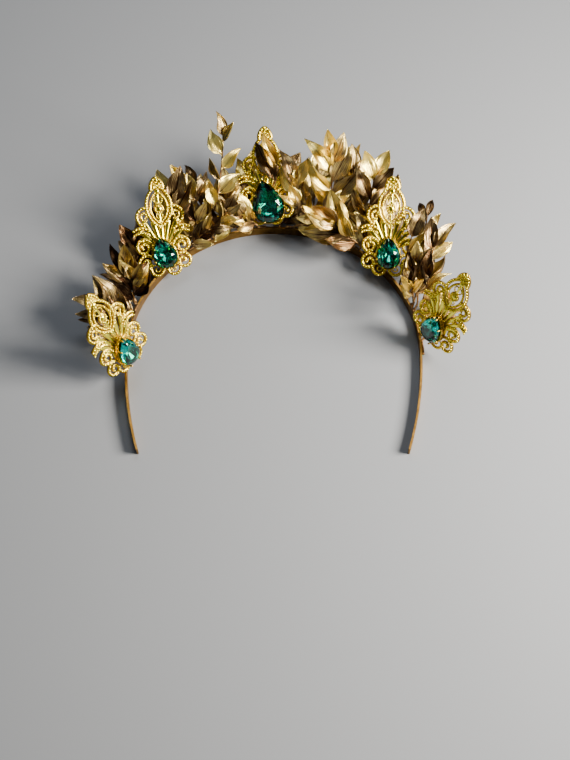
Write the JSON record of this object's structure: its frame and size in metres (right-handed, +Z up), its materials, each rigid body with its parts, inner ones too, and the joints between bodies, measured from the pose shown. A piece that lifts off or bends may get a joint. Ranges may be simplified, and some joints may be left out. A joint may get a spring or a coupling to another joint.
{
  "type": "leaf tiara",
  "caption": "Open headband dressed with sprays of gilded leaves and pierced filigree plates, each plate with a pear-cut green glass stone in a claw setting.",
  "frame": {"origin": "crown of the headband's arch, in the middle of the strip, on the plane of its lower edge", "axes": "+Z up from the surface that it rests on, -Y from the crown of the arch to its open ends, X across from ear to ear"},
  "size_m": [0.224, 0.1961, 0.0632],
  "materials": {
    "band": "satin",
    "leaf": "satin metallic paint",
    "filigree": "polished",
    "setting": "polished",
    "stone": "polished"
  },
  "bodies": {
    "root": {"headband": "band", "filigree_1": "filigree", "filigree_2": "filigree", "filigree_3": "filigree", "filigree_4": "filigree", "filigree_5": "filigree", "setting_1": "setting", "setting_2": "setting", "setting_3": "setting", "setting_4": "setting", "setting_5": "setting", "stone_1": "stone", "stone_2": "stone", "stone_3": "stone", "stone_4": "stone", "stone_5": "stone", "sprig_01": "leaf", "sprig_02": "leaf", "sprig_03": "leaf", "sprig_04": "leaf", "sprig_05": "leaf", "sprig_06": "leaf", "sprig_07": "leaf", "sprig_08": "leaf", "sprig_09": "leaf", "sprig_10": "leaf", "sprig_11": "leaf", "sprig_12": "leaf", "sprig_13": "leaf", "sprig_14": "leaf", "sprig_15": "leaf", "sprig_16": "leaf", "sprig_17": "leaf", "sprig_18": "leaf", "sprig_19": "leaf", "sprig_20": "leaf", "sprig_21": "leaf", "sprig_22": "leaf", "sprig_23": "leaf", "sprig_24": "leaf", "sprig_25": "leaf", "sprig_26": "leaf", "sprig_27": "leaf", "sprig_28": "leaf", "sprig_29": "leaf", "sprig_30": "leaf", "sprig_31": "leaf", "sprig_32": "leaf", "sprig_33": "leaf", "sprig_34": "leaf", "sprig_35": "leaf", "sprig_36": "leaf", "sprig_37": "leaf", "sprig_38": "leaf"}
  },
  "joints": []
}
